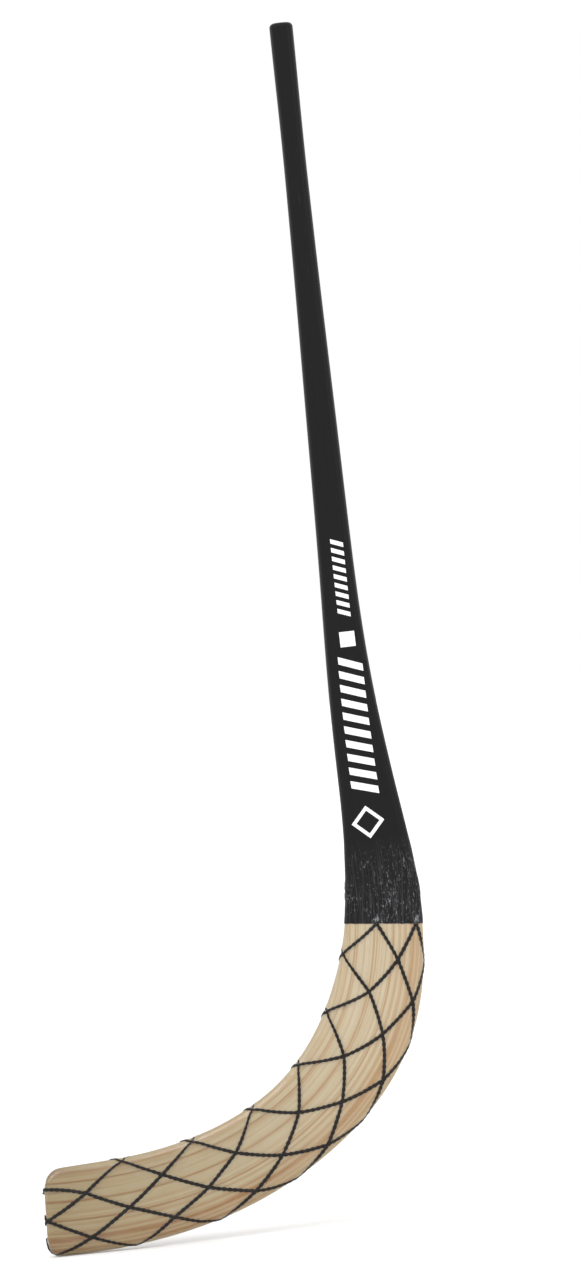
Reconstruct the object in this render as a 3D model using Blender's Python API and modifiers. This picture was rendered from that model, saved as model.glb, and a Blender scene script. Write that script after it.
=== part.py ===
"""Bandy stick: a laminated wooden stick with a wide, bent, net-wrapped blade.

Five bent staves make the shaft and the blade. A clear glass-fibre sleeve covers the blade, a black
coat covers the shaft and the sleeve's upper end, and four long net cords wrap the sleeve.

The shaft hangs down from the butt along -Z, the toe points to -X and the front face looks to -Y.
The origin is on the shaft's centreline, where the upper hand holds it. "Distance" is always
measured from the butt along the centreline, and "across" is the offset from that line, negative
on the inner side of the bend and positive on the outer side.
"""

import math
from functools import lru_cache

import bmesh
import bpy
from mathutils import Vector

COLLECTION_NAME = "bandy_stick"

# Overall shape
LENGTH = 1.063
GRIP_FROM_BUTT = 0.150
CENTRELINE_STEP = 0.001
# (distance, curvature): between two stations the curvature changes evenly
BEND = (
    (0.395, 0.0),
    (0.517, -1 / 1.270),
    (0.583, 0.0),
    (0.777, 1 / 0.161),
    (0.861, 1 / 0.220),
    (LENGTH, 1 / 0.600),
)
# (distance, width of the face)
WIDTHS = (
    (0.000, 0.0179),
    (0.090, 0.0172),
    (0.160, 0.0184),
    (0.300, 0.0229),
    (0.420, 0.0273),
    (0.576, 0.0424),
    (0.680, 0.0588),
    (0.770, 0.0698),
    (0.870, 0.0650),
    (0.950, 0.0662),
    (LENGTH, 0.0684),
)
# (distance, front to back)
THICKNESSES = (
    (0.000, 0.0200),
    (0.450, 0.0200),
    (0.700, 0.0145),
    (0.860, 0.0120),
    (LENGTH, 0.0120),
)
# (distance, how far the rounded long edges reach in across the face)
EDGE_REACHES = (
    (0.000, 0.0050),
    (0.500, 0.0050),
    (0.760, 0.0085),
    (LENGTH, 0.0080),
)
EDGE_DROP = 0.8  # share of the half thickness that a long edge rounds away

# Ends
BUTT_ROUND = 0.0035
TOE_ROUND = 0.0035
TOE_OUTER_CORNER = 0.010
TOE_INNER_CORNER = 0.014
TOE_TAPER_LENGTH = 0.050
TOE_TAPER = 0.0025

# Layers, as insets from the blade's outer surface; touching pieces keep a gap
GAP = 0.0003
WOOD_INSET = 0.0008
SLEEVE_THICKNESS = WOOD_INSET - GAP
COAT_THICKNESS = 0.0004
COAT_ON_WOOD_INSET = WOOD_INSET - GAP - COAT_THICKNESS
COAT_ON_SLEEVE_INSET = -(GAP + COAT_THICKNESS)
SLEEVE_START = 0.636
COAT_STEP_START = 0.615
COAT_STEP_END = 0.630
COAT_END = 0.686

# Staves: where their seams run across the blade, and the thinnest stave edge that is left
SEAMS = (-0.0212, -0.0068, 0.0076, 0.0220)
STAVE_NAMES = ("inner_edge_stave", "inner_stave", "centre_stave", "outer_stave", "outer_edge_stave")
STAVE_MIN_WIDTH = 0.0015

# Net: rows of crossings down the blade, columns of crossings round it
NET_START = 0.6857
NET_FIRST_ROW = 0.0263
NET_ROW_GROWTH = 0.0002
NET_TOP_ROW = 0.14
NET_COLUMNS = 8
NET_FRONT_COLUMNS = (-0.18, 0.37, 0.82)
NET_DRIFTS = (
    (0.860, 0.0),
    (0.990, -0.26),
    (1.035, -0.17),
    (LENGTH, -0.17),
)
NET_INNER_TURN = 0.0065
NET_TURN_FADE = 0.040
TOE_INNER_COLUMNS = 0.78
INNER_EDGE_COLUMNS = 0.7  # how far from the edge's column the rounded edge reaches, in columns
OUTER_EDGE_COLUMNS = 1.1
CORD_WIDTH = 0.0022
CORD_DEPTH = 0.0010
CORD_GAP = 0.0005
CORD_FADE_ROWS = 0.15

# How finely the pieces are divided
SHAFT_STEP = 0.045
NECK_STEP = 0.0225
BLADE_STEP = 0.015
NECK_FROM = 0.39
BLADE_FROM = 0.60
ROUND_STEPS = 4
EDGE_STEPS = 3
CORD_SIDES = 6
CORD_ROW_STEP = 1 / 3
CORD_EDGE_ROW_STEP = 1 / 12
TOE_TURN_STEPS = 6
SCAN_STEP = 0.001
WELD_DISTANCE = 1e-6
SMOOTH_ANGLE = math.radians(40)

WOOD_COLOR = (0.60, 0.45, 0.27)
RESIN_COLOR = (0.80, 0.72, 0.55)
COAT_COLOR = (0.018, 0.018, 0.019)
CORD_COLOR = (0.012, 0.012, 0.013)


# ---- The centreline and the outline ----


def between(stations, distance):
    """The value at a distance, changing evenly between stations and constant beyond them."""
    if distance <= stations[0][0]:
        return stations[0][1]
    for (start, first), (end, last) in zip(stations, stations[1:]):
        if distance <= end:
            return first + (last - first) * (distance - start) / (end - start)
    return stations[-1][1]


def station_slope(stations, index):
    """The smooth curve's slope at a station: flat at the ends and at a high or low point."""
    if index in (0, len(stations) - 1):
        return 0.0
    (x0, y0), (x1, y1), (x2, y2) = stations[index - 1 : index + 2]
    before = (y1 - y0) / (x1 - x0)
    after = (y2 - y1) / (x2 - x1)
    if before * after <= 0:
        return 0.0
    return 2 * before * after / (before + after)


def smooth(stations, distance):
    """The value at a distance, on a smooth curve through the stations."""
    distance = min(max(distance, stations[0][0]), stations[-1][0])
    index = 0
    while distance > stations[index + 1][0]:
        index += 1
    (start, first), (end, last) = stations[index : index + 2]
    span = end - start
    t = (distance - start) / span
    slope_in = station_slope(stations, index) * span
    slope_out = station_slope(stations, index + 1) * span
    return (
        first * (1 + 2 * t) * (1 - t) ** 2
        + slope_in * t * (1 - t) ** 2
        + last * t * t * (3 - 2 * t)
        - slope_out * t * t * (1 - t)
    )


def walk_centreline():
    """[(x, z, heading)] at every step from the butt; heading 0 points down and turns to -X."""
    x, z, heading = 0.0, GRIP_FROM_BUTT, 0.0
    line = [(x, z, heading)]
    for step in range(round(LENGTH / CENTRELINE_STEP)):
        turn = between(BEND, (step + 0.5) * CENTRELINE_STEP) * CENTRELINE_STEP
        x -= math.sin(heading + turn / 2) * CENTRELINE_STEP
        z -= math.cos(heading + turn / 2) * CENTRELINE_STEP
        heading += turn
        line.append((x, z, heading))
    return line


CENTRELINE = walk_centreline()


def place(distance, across, depth):
    """The point at a distance and offset across, depth towards the back (+Y)."""
    index = min(max(int(distance / CENTRELINE_STEP), 0), len(CENTRELINE) - 2)
    rest = distance / CENTRELINE_STEP - index
    x0, z0, heading0 = CENTRELINE[index]
    x1, z1, heading1 = CENTRELINE[index + 1]
    heading = heading0 + (heading1 - heading0) * min(max(rest, 0), 1)
    x = x0 + (x1 - x0) * rest + across * math.cos(heading)
    z = z0 + (z1 - z0) * rest - across * math.sin(heading)
    return Vector((x, depth, z))


def round_off(from_end, radius):
    """How far a rounded end has drawn in, at a distance from the end."""
    if from_end >= radius:
        return 0.0
    rise = radius - max(from_end, 0.0)
    return radius - math.sqrt(max(radius * radius - rise * rise, 0.0))


def half_widths(distance, inset=0.0):
    """How far the outline reaches to the inner and to the outer side."""
    half = smooth(WIDTHS, distance) / 2 - inset
    from_toe = LENGTH - inset - distance
    ends = round_off(distance - inset, BUTT_ROUND - inset) + round_off(from_toe, TOE_ROUND - inset)
    into_taper = max(1 - from_toe / TOE_TAPER_LENGTH, 0.0)
    inner_corner = round_off(from_toe, TOE_INNER_CORNER - inset) + TOE_TAPER * into_taper**2
    outer_corner = round_off(from_toe, TOE_OUTER_CORNER - inset)
    return half - ends - inner_corner, half - ends - outer_corner


def profile(distance, inset=0.0):
    """[(across, half depth)] from the inner to the outer edge, in even steps round both edges."""
    inner, outer = half_widths(distance, inset)
    reach = smooth(EDGE_REACHES, distance) - inset
    middle = smooth(THICKNESSES, distance) / 2 - inset
    middle -= round_off(distance - inset, BUTT_ROUND - inset)
    middle -= round_off(LENGTH - inset - distance, TOE_ROUND - inset)
    edge = []
    for k in range(EDGE_STEPS + 1):
        angle = math.pi / 2 * k / EDGE_STEPS
        edge.append((reach * (1 - math.cos(angle)), middle * (1 - EDGE_DROP * (1 - math.sin(angle)))))
    inner_side = [(-inner + from_edge, depth) for from_edge, depth in edge]
    outer_side = [(outer - from_edge, depth) for from_edge, depth in reversed(edge)]
    return inner_side + outer_side


def stations(start, end):
    """The distances at which a piece between start and end gets a ring of points."""
    marks = [start]
    position = start
    while True:
        step = SHAFT_STEP if position < NECK_FROM else NECK_STEP if position < BLADE_FROM else BLADE_STEP
        position += step
        if position > end - step / 2:
            break
        marks.append(position)
    marks.append(end)
    if start < BUTT_ROUND:
        marks += rounding_marks(start, 1, BUTT_ROUND)
    if end > LENGTH - TOE_ROUND:
        for radius in (TOE_ROUND, TOE_OUTER_CORNER, TOE_INNER_CORNER):
            marks += rounding_marks(end, -1, radius)
    return drop_close(sorted(marks))


def rounding_marks(end, direction, radius):
    """Distances that space rings evenly round a rounded end."""
    angles = [math.pi / 2 * (k + 1) / ROUND_STEPS for k in range(ROUND_STEPS)]
    return [end + direction * radius * (1 - math.cos(angle)) for angle in angles]


def drop_close(marks):
    """Marks in order, without those that nearly repeat the one before."""
    kept = [marks[0]]
    for mark in marks[1:]:
        if mark - kept[-1] > 0.3 * GAP:
            kept.append(mark)
    kept[-1] = marks[-1]
    return kept


# ---- Meshes ----


def make_material(name, color, roughness, alpha=1.0):
    material = bpy.data.materials.new(name)
    material.use_nodes = True
    shader = material.node_tree.nodes["Principled BSDF"]
    shader.inputs["Base Color"].default_value = (*color, 1.0)
    shader.inputs["Roughness"].default_value = roughness
    shader.inputs["Metallic"].default_value = 0.0
    shader.inputs["Alpha"].default_value = alpha
    return material


def add_object(collection, name, mesh, material):
    mesh.materials.append(material)
    mesh.shade_smooth()
    mesh.set_sharp_from_angle(angle=SMOOTH_ANGLE)
    piece = bpy.data.objects.new(name, mesh)
    collection.objects.link(piece)
    return piece


def loft(name, rings, cap_start=True, cap_end=True):
    """A mesh through closed rings of equally many points."""
    shape = bmesh.new()
    rows = [[shape.verts.new(point) for point in ring] for ring in rings]
    count = len(rows[0])
    for row, following in zip(rows, rows[1:]):
        for k in range(count):
            after = (k + 1) % count
            shape.faces.new((row[k], row[after], following[after], following[k]))
    if cap_start:
        shape.faces.new(list(reversed(rows[0])))
    if cap_end:
        shape.faces.new(rows[-1])
    bmesh.ops.remove_doubles(shape, verts=shape.verts, dist=WELD_DISTANCE)
    bmesh.ops.recalc_face_normals(shape, faces=shape.faces)
    mesh = bpy.data.meshes.new(name)
    shape.to_mesh(mesh)
    shape.free()
    return mesh


def section_ring(distance, low, high, inset):
    """A ring round the part of the section between two offsets: over the front, back round behind.

    Every ring has the same number of points; those outside the offsets lie on the nearer one.
    """
    outline = profile(distance, inset)
    offsets = [min(max(across, low), high) for across, _ in outline]
    front = [place(distance, across, -between(outline, across)) for across in offsets]
    back = [place(distance, across, between(outline, across)) for across in reversed(offsets)]
    return front + back


# ---- The wooden staves ----


def room_for_stave(index, distance):
    """How wide a stave can be here: the wood outside its inner seam."""
    inner, outer = half_widths(distance, WOOD_INSET)
    centre = len(SEAMS) // 2
    if index == centre:
        return inner + outer
    return inner + SEAMS[index] if index < centre else outer - SEAMS[index - 1]


@lru_cache(maxsize=None)
def stave_span(index):
    """Where a stave starts and ends along the stick."""
    start, end = WOOD_INSET, LENGTH - WOOD_INSET
    scan = [start + k * SCAN_STEP for k in range(int((end - start) / SCAN_STEP))] + [end]
    present = [distance for distance in scan if room_for_stave(index, distance) > STAVE_MIN_WIDTH]
    return present[0], present[-1]


def stave_limits(index, distance):
    """The stave's low and high offsets: a seam where a neighbour has begun, or the wood's outline."""
    inner, outer = half_widths(distance, WOOD_INSET)
    low, high = -inner, outer
    if index > 0 and distance >= stave_span(index - 1)[0] - GAP:
        low = max(SEAMS[index - 1] + GAP / 2, low)
    if index < len(SEAMS) and distance >= stave_span(index + 1)[0] - GAP:
        high = min(SEAMS[index] - GAP / 2, high)
    return low, high


def shoulder_marks(index):
    """Two rings just before each place where a neighbour begins, so that this stave steps in."""
    own_start = stave_span(index)[0]
    neighbours = [n for n in (index - 1, index + 1) if 0 <= n <= len(SEAMS)]
    starts = [stave_span(n)[0] for n in neighbours]
    return [start - part * GAP for start in starts if start > own_start for part in (1.0, 1.5)]


def stave_mesh(index):
    marks = stations(*stave_span(index)) + shoulder_marks(index)
    rings = [
        section_ring(distance, *stave_limits(index, distance), WOOD_INSET) for distance in sorted(marks)
    ]
    return loft(STAVE_NAMES[index], rings)


# ---- The shells: sleeve and coat ----


def shell_ring(distance, inset):
    inner, outer = half_widths(distance, inset)
    return section_ring(distance, -inner, outer, inset)


def coat_inset(distance):
    """The coat lies on the wood above the sleeve and steps out over the sleeve's upper end."""
    steps = ((COAT_STEP_START, COAT_ON_WOOD_INSET), (COAT_STEP_END, COAT_ON_SLEEVE_INSET))
    return smooth(steps, distance)


def thicken_inwards(piece, thickness):
    solidify = piece.modifiers.new("Solidify", "SOLIDIFY")
    solidify.thickness = thickness
    solidify.offset = -1.0
    solidify.use_even_offset = True
    return piece


def coat_mesh():
    marks = stations(COAT_ON_WOOD_INSET, COAT_END)
    marks = sorted(marks + [COAT_STEP_START, (COAT_STEP_START + COAT_STEP_END) / 2, COAT_STEP_END])
    rings = [shell_ring(distance, coat_inset(distance)) for distance in drop_close(marks)]
    return loft("shaft_coat", rings, cap_end=False)


def sleeve_mesh():
    rings = [shell_ring(distance, 0.0) for distance in stations(SLEEVE_START, LENGTH)]
    return loft("glass_fibre_sleeve", rings, cap_start=False)


# ---- The net ----


def row_distance(row):
    """Where a row of crossings lies along the blade; rows grow further apart towards the toe."""
    return NET_START + NET_FIRST_ROW * row + NET_ROW_GROWTH * row * row


def row_at(distance):
    """The row, as a number with a fraction, at a distance."""
    reach = distance - NET_START
    root = math.sqrt(NET_FIRST_ROW**2 + 4 * NET_ROW_GROWTH * reach)
    return (root - NET_FIRST_ROW) / (2 * NET_ROW_GROWTH)


def column_offsets(distance, inner, outer):
    """The offsets of the front's columns; near the toe they drift to the inner side."""
    drift = smooth(NET_DRIFTS, distance)
    half = (inner + outer) / 2
    return [share * half + drift * half for share in NET_FRONT_COLUMNS]


def front_outline(distance, inset):
    """The front half of the section, from the inner edge's middle to the outer edge's middle."""
    face = [(across, -depth) for across, depth in profile(distance, inset)]
    return [(face[0][0], 0.0)] + face + [(face[-1][0], 0.0)]


def point_on_outline(outline, travel):
    """The point that lies a length of travel along the outline."""
    for (a0, d0), (a1, d1) in zip(outline, outline[1:]):
        length = math.hypot(a1 - a0, d1 - d0)
        if travel <= length:
            share = travel / length if length else 0.0
            return a0 + (a1 - a0) * share, d0 + (d1 - d0) * share
        travel -= length
    return outline[-1]


def travel_to(outline, across):
    """The length along the outline up to an offset."""
    travel = 0.0
    for (a0, d0), (a1, d1) in zip(outline, outline[1:]):
        length = math.hypot(a1 - a0, d1 - d0)
        if a1 >= across:
            return travel + (length * (across - a0) / (a1 - a0) if a1 > a0 else 0.0)
        travel += length
    return travel


def surface_point(distance, column, height):
    """(across, depth) at a column of the net, at a height over the sleeve.

    The back mirrors the front, but for the inner edge's crossings, which sit a little way round
    on the front; towards the toe they come back to the edge's middle.
    """
    column %= NET_COLUMNS
    side = -1 if column > NET_COLUMNS / 2 else 1
    if side == -1:
        column = NET_COLUMNS - column
    outline = front_outline(distance, -height)
    inner, outer = half_widths(min(distance, LENGTH - TOE_OUTER_CORNER))
    to_toe = min(max((LENGTH - TOE_ROUND - distance) / NET_TURN_FADE, 0), 1)
    ends = [side * NET_INNER_TURN * to_toe]
    ends += [travel_to(outline, across) for across in column_offsets(distance, inner, outer)]
    ends += [travel_to(outline, outline[-1][0])]
    before = min(int(column), len(ends) - 2)
    travel = ends[before] + (ends[before + 1] - ends[before]) * (column - before)
    if travel < 0:
        side, travel = -side, -travel
    across, depth = point_on_outline(outline, travel)
    return across, side * depth


def net_point(along, column, height):
    """A point on the net: down the blade, round the toe's rounding, then to its end face's middle."""
    turn_start = LENGTH - TOE_ROUND
    face_start = turn_start + TOE_ROUND * math.pi / 2
    flat_half = smooth(THICKNESSES, LENGTH) / 2 - TOE_ROUND
    if along <= turn_start:
        across, depth = surface_point(along, column, height)
        return place(along, across, depth)
    angle = min((along - turn_start) / TOE_ROUND, math.pi / 2)
    distance = turn_start + (TOE_ROUND + height) * math.sin(angle)
    across, depth = surface_point(distance, column, height)
    inward = min(max((along - face_start) / flat_half, 0.0), 1.0)
    return place(distance, across, depth * (1 - inward))


def cord_height(row, side):
    """The cord's height over the sleeve: over and under the other cords in turn."""
    middle = CORD_GAP + CORD_DEPTH / 2 + (CORD_DEPTH + CORD_GAP) / 2
    last_crossing = math.floor(row_at(LENGTH))
    fade = 1 - min(max((row - last_crossing) / CORD_FADE_ROWS, 0.0), 1.0)
    return middle + side * fade * (CORD_DEPTH + CORD_GAP) / 2 * math.cos(math.pi * row)


def near_edge(column):
    """Whether a column is on or near one of the blade's two rounded edges."""
    to_inner = abs((column + NET_COLUMNS / 2) % NET_COLUMNS - NET_COLUMNS / 2)
    to_outer = abs(column % NET_COLUMNS - NET_COLUMNS / 2)
    return to_inner < INNER_EDGE_COLUMNS or to_outer < OUTER_EDGE_COLUMNS


def cord_column(start_column, row):
    """The column that a cord has reached. Past the last full row it levels out off the inner edge."""
    column = start_column + row
    from_inner = column - NET_COLUMNS * round(column / NET_COLUMNS)
    past = row - (math.floor(row_at(LENGTH)) - 1)
    if past <= 0 or abs(from_inner) >= 1:
        return column
    kept_off = TOE_INNER_COLUMNS + (1 - TOE_INNER_COLUMNS) * from_inner**2
    return column - from_inner - kept_off


def cord_half(start_column, side):
    """[(centre, outward direction)] from the net's top to the middle of the toe's end face.

    Side is 1 for the slant that climbs the columns, and -1 for its mirror image.
    """
    turn_start = LENGTH - TOE_ROUND
    turn_end = turn_start + TOE_ROUND * math.pi / 2 + smooth(THICKNESSES, LENGTH) / 2 - TOE_ROUND
    turn_step = (turn_end - turn_start) / TOE_TURN_STEPS
    alongs = []
    row = NET_TOP_ROW
    while row_distance(row) < turn_start - turn_step / 2:
        alongs.append(row_distance(row))
        row += CORD_EDGE_ROW_STEP if near_edge(start_column + row) else CORD_ROW_STEP
    alongs += [turn_start + turn_step * k for k in range(TOE_TURN_STEPS + 1)]
    points = []
    for along in alongs:
        row = row_at(along)
        column = side * cord_column(start_column, row)
        height = cord_height(row, side)
        centre = net_point(along, column, height)
        outward = net_point(along, column, height + CORD_DEPTH) - centre
        points.append((centre, outward.normalized()))
    return points


def cord_mesh(name, start_column):
    """One cord: down the blade on one slant, over the toe, and back up on the other slant."""
    path = cord_half(start_column, 1) + cord_half(start_column, -1)[-2::-1]
    rings = []
    for index, (centre, outward) in enumerate(path):
        before = path[max(index - 1, 0)][0]
        after = path[min(index + 1, len(path) - 1)][0]
        side = (after - before).cross(outward).normalized()
        ring = []
        for k in range(CORD_SIDES):
            angle = 2 * math.pi * k / CORD_SIDES
            reach_side = side * (math.cos(angle) * CORD_WIDTH / 2)
            reach_up = outward * (math.sin(angle) * CORD_DEPTH / 2)
            ring.append(centre + reach_side + reach_up)
        rings.append(ring)
    return loft(name, rings)


# ---- The whole stick ----


def clear_scene():
    for item in list(bpy.data.objects):
        bpy.data.objects.remove(item, do_unlink=True)


def main():
    clear_scene()
    collection = bpy.data.collections.new(COLLECTION_NAME)
    bpy.context.scene.collection.children.link(collection)
    wood = make_material("wood", WOOD_COLOR, 0.35)
    resin = make_material("clear_resin", RESIN_COLOR, 0.15, alpha=0.3)
    black = make_material("black_coat", COAT_COLOR, 0.35)
    cord = make_material("black_cord", CORD_COLOR, 0.6)

    for index, name in enumerate(STAVE_NAMES):
        add_object(collection, name, stave_mesh(index), wood)
    sleeve = add_object(collection, "glass_fibre_sleeve", sleeve_mesh(), resin)
    thicken_inwards(sleeve, SLEEVE_THICKNESS)
    coat = add_object(collection, "shaft_coat", coat_mesh(), black)
    thicken_inwards(coat, COAT_THICKNESS)
    for number, start_column in enumerate(range(1, NET_COLUMNS, 2), start=1):
        name = f"net_cord_{number}"
        add_object(collection, name, cord_mesh(name, start_column), cord)


main()
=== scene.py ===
"""Looks of the bandy stick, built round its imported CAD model.

The CAD's staves, sleeve, coat and cords are replaced by finer meshes of the same design, but for the
cords, which are wider, lie deeper, start nearer the coat and keep another route at the inner edge
and the toe. Points are given as (distance, across, depth): distance from the butt along the stick's
centreline, across from that line (negative on the inner side of the bend) and depth towards the
back. Every mesh stores them in millimetres in its "stick" attribute, so that grain and weave follow
the bend.
"""

import math

import bmesh
import bpy
from mathutils import Euler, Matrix, Vector, kdtree, noise


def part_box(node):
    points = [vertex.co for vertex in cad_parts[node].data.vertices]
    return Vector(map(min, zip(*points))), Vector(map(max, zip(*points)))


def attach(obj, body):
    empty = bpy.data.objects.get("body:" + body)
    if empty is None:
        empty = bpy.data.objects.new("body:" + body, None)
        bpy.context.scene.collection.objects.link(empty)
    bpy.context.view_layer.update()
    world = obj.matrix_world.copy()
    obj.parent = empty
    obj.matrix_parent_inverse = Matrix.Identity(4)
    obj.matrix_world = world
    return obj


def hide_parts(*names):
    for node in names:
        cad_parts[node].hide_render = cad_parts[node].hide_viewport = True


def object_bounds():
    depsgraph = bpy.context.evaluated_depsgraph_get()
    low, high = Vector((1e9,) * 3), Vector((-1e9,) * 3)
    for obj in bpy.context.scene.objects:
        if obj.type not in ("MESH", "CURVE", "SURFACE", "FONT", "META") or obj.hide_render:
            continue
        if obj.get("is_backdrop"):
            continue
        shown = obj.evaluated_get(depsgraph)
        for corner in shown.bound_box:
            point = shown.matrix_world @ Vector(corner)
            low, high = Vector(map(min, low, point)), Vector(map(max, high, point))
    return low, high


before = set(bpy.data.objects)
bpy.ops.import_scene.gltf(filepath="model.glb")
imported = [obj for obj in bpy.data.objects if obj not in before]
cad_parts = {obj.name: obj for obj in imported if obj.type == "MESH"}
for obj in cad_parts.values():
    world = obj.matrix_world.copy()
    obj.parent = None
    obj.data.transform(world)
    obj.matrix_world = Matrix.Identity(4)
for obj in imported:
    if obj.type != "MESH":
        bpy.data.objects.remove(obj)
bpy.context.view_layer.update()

MM = 0.001

# ---- The stick's design, as in the CAD model ----

COAT_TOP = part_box("shaft_coat")[1].z
COAT_ON_WOOD_INSET = 0.0001
LENGTH = 1.063
GRIP_FROM_BUTT = COAT_TOP + COAT_ON_WOOD_INSET
CENTRELINE_STEP = 0.001
BEND = (
    (0.395, 0.0),
    (0.517, -1 / 1.270),
    (0.583, 0.0),
    (0.777, 1 / 0.161),
    (0.861, 1 / 0.220),
    (LENGTH, 1 / 0.600),
)
WIDTHS = (
    (0.000, 0.0179),
    (0.090, 0.0172),
    (0.160, 0.0184),
    (0.300, 0.0229),
    (0.420, 0.0273),
    (0.576, 0.0424),
    (0.680, 0.0588),
    (0.770, 0.0698),
    (0.870, 0.0650),
    (0.950, 0.0662),
    (LENGTH, 0.0684),
)
THICKNESSES = (
    (0.000, 0.0200),
    (0.450, 0.0200),
    (0.700, 0.0145),
    (0.860, 0.0120),
    (LENGTH, 0.0120),
)
EDGE_REACHES = (
    (0.000, 0.0050),
    (0.500, 0.0050),
    (0.760, 0.0085),
    (LENGTH, 0.0080),
)
EDGE_DROP = 0.8

BUTT_ROUND = 0.0035
TOE_ROUND = 0.0035
TOE_OUTER_CORNER = 0.010
TOE_INNER_CORNER = 0.014
TOE_TAPER_LENGTH = 0.050
TOE_TAPER = 0.0025

WOOD_INSET = 0.0004  # an exception: it is 0.0008 in the CAD model
SLEEVE_START = 0.636
COAT_END = 0.686
SEAMS = (-0.0212, -0.0068, 0.0076, 0.0220)
STAVES = ("inner_edge_stave", "inner_stave", "centre_stave", "outer_stave", "outer_edge_stave")
STAVE_MIN_WIDTH = 0.0010

NET_START = 0.6857
NET_FIRST_ROW = 0.0263
NET_ROW_GROWTH = 0.0002
NET_COLUMNS = 8
NET_FRONT_COLUMNS = (-0.18, 0.37, 0.82)
NET_DRIFTS = (
    (0.860, 0.0),
    (0.990, -0.26),
    (1.035, -0.17),
    (LENGTH, -0.17),
)
NET_INNER_TURN = 0.0050  # the CAD's flat cords turn 1.5 mm further on to the faces
NET_TURN_FADE = 0.040
TOE_INNER_COLUMNS = 0.78
NET_LAST_ROW = 13
CORD_FADE_ROWS = 0.15

# ---- Looks: sizes that only this script uses ----

SEAM_GAP = 0.00008
SLEEVE_WALL = 0.00025
COAT_WALL = 0.00025
COAT_FILM = 0.00018  # how far the coat stands over the sleeve
COAT_STEP = (0.618, 0.634)
RELIEF_START = 0.622
CORD_WIDTH = 0.0030
CORD_DEPTH = 0.0013
CORD_SINK = 0.00030  # the cord's middle stands this far over the resin
CORD_CROSSING = 0.00030
CORD_PITCH = 0.0042
CORD_STEP = 0.0007
CORD_SIDES = 14
CORD_TOP_ROW = 0.02
CORD_LOBE = 0.21  # how far the two plies' outline swings about its mean
CORD_EDGE_SINK = 0.0008  # at the edges the cord is pulled in, through the resin and into the wood
CORD_EDGE_WIDTH = 0.0035
CORD_WANDER = 0.030
CORD_UNEVEN = 0.10
KNOT_SWELL = 0.35
KNOT_COLUMNS = 0.10
COVERED_ROWS = 2.4
COVERED_STEPS = 400
NET_TOP_CROSSINGS = (-5.5, 25.0)  # millimetres across: painted glints at the net's crossings under the paint
RIDGE_HEIGHT = 0.00042
RIDGE_WIDTH = 0.0015
COVERED_RIDGE = 0.00055
COVERED_WIDTH = 0.0015
PRINT_HEIGHT = 0.00008
SHARP_ANGLE = math.radians(38)
SAME_PLACE = 2e-6
EDGE_STEPS = 8
STAVE_STEPS = 6
SLEEVE_STEPS = 52
COAT_STEPS = 72

# ---- The centreline and the outline ----


def between(stations, distance):
    """The value at a distance, changing evenly between stations and constant beyond them."""
    if distance <= stations[0][0]:
        return stations[0][1]
    for (start, first), (end, last) in zip(stations, stations[1:]):
        if distance <= end:
            return first + (last - first) * (distance - start) / (end - start)
    return stations[-1][1]


def station_slope(stations, index):
    """The smooth curve's slope at a station: flat at the ends and at a high or low point."""
    if index in (0, len(stations) - 1):
        return 0.0
    (x0, y0), (x1, y1), (x2, y2) = stations[index - 1 : index + 2]
    before = (y1 - y0) / (x1 - x0)
    after = (y2 - y1) / (x2 - x1)
    if before * after <= 0:
        return 0.0
    return 2 * before * after / (before + after)


def smooth(stations, distance):
    """The value at a distance, on a smooth curve through the stations."""
    distance = min(max(distance, stations[0][0]), stations[-1][0])
    index = 0
    while distance > stations[index + 1][0]:
        index += 1
    (start, first), (end, last) = stations[index : index + 2]
    span = end - start
    t = (distance - start) / span
    slope_in = station_slope(stations, index) * span
    slope_out = station_slope(stations, index + 1) * span
    return (
        first * (1 + 2 * t) * (1 - t) ** 2
        + slope_in * t * (1 - t) ** 2
        + last * t * t * (3 - 2 * t)
        - slope_out * t * t * (1 - t)
    )


def ease(low, high, value):
    """0 below low, 1 above high, with a smooth change between."""
    t = min(max((value - low) / (high - low), 0.0), 1.0)
    return t * t * (3 - 2 * t)


def walk_centreline():
    """[(x, z, heading)] at every step from the butt; heading 0 points down and turns to -X."""
    x, z, heading = 0.0, GRIP_FROM_BUTT, 0.0
    line = [(x, z, heading)]
    for step in range(round(LENGTH / CENTRELINE_STEP)):
        turn = between(BEND, (step + 0.5) * CENTRELINE_STEP) * CENTRELINE_STEP
        x -= math.sin(heading + turn / 2) * CENTRELINE_STEP
        z -= math.cos(heading + turn / 2) * CENTRELINE_STEP
        heading += turn
        line.append((x, z, heading))
    return line


CENTRELINE = walk_centreline()


def place(point):
    """The world position of a (distance, across, depth) point."""
    distance, across, depth = point
    index = min(max(int(distance / CENTRELINE_STEP), 0), len(CENTRELINE) - 2)
    rest = distance / CENTRELINE_STEP - index
    x0, z0, heading0 = CENTRELINE[index]
    x1, z1, heading1 = CENTRELINE[index + 1]
    heading = heading0 + (heading1 - heading0) * min(max(rest, 0), 1)
    x = x0 + (x1 - x0) * rest + across * math.cos(heading)
    z = z0 + (z1 - z0) * rest - across * math.sin(heading)
    return Vector((x, depth, z))


def round_off(from_end, radius):
    """How far a rounded end has drawn in, at a distance from the end."""
    if from_end >= radius:
        return 0.0
    rise = radius - max(from_end, 0.0)
    return radius - math.sqrt(max(radius * radius - rise * rise, 0.0))


def half_widths(distance, inset=0.0):
    """How far the outline reaches to the inner and to the outer side."""
    half = smooth(WIDTHS, distance) / 2 - inset
    from_toe = LENGTH - inset - distance
    ends = round_off(distance - inset, BUTT_ROUND - inset) + round_off(from_toe, TOE_ROUND - inset)
    into_taper = max(1 - from_toe / TOE_TAPER_LENGTH, 0.0)
    inner_corner = round_off(from_toe, TOE_INNER_CORNER - inset) + TOE_TAPER * into_taper**2
    outer_corner = round_off(from_toe, TOE_OUTER_CORNER - inset)
    return half - ends - inner_corner, half - ends - outer_corner


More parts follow.
